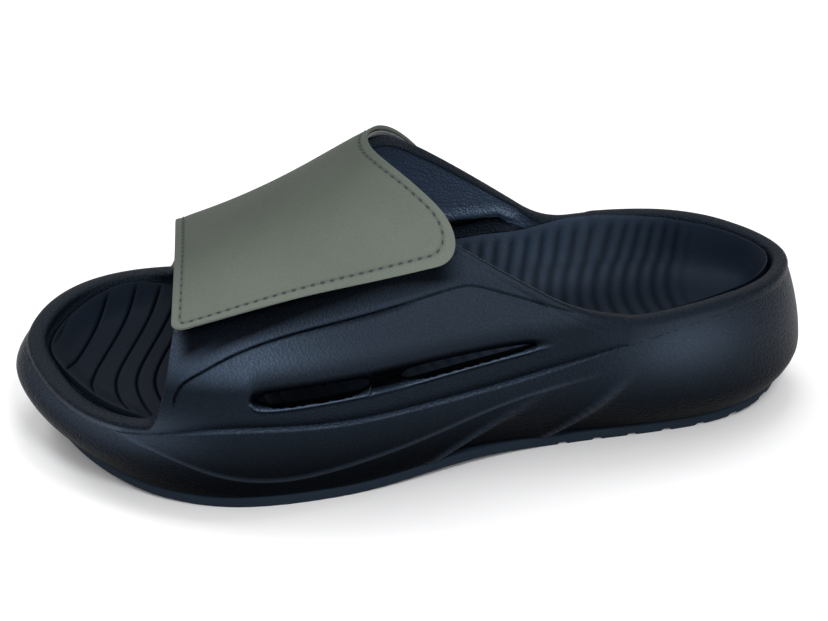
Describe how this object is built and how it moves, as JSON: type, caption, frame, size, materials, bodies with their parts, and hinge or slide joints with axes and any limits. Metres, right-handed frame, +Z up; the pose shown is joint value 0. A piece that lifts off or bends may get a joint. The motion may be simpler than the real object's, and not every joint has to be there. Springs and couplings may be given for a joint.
{
  "type": "slide sandal",
  "caption": "Left-foot sport slide: thick moulded foam body with vented side wings, contoured footbed, lugged outsole and a leather-look strap with a hook-and-loop end.",
  "frame": {"origin": "centre of the bounding box's bottom face, on the ground", "axes": "+X from the heel to the toe, +Y to the outer side of the left foot, +Z up"},
  "size_m": [0.2903, 0.1199, 0.1112],
  "materials": {
    "foam": "navy moulded foam, leather-like grain, half gloss",
    "footbed": "navy foam, matte",
    "outsole_rubber": "grey navy rubber, matte",
    "strap_leather": "sage green synthetic leather, matte",
    "lining": "dark knitted lining",
    "hook_nylon": "black hook tape",
    "loop_nylon": "dark loop tape"
  },
  "bodies": {
    "root": {"foam_body": "foam", "insole": "footbed", "outsole": "outsole_rubber", "strap": "strap_leather", "strap_lining": "lining", "hook_tape": "hook_nylon", "loop_patch": "loop_nylon"}
  },
  "joints": []
}
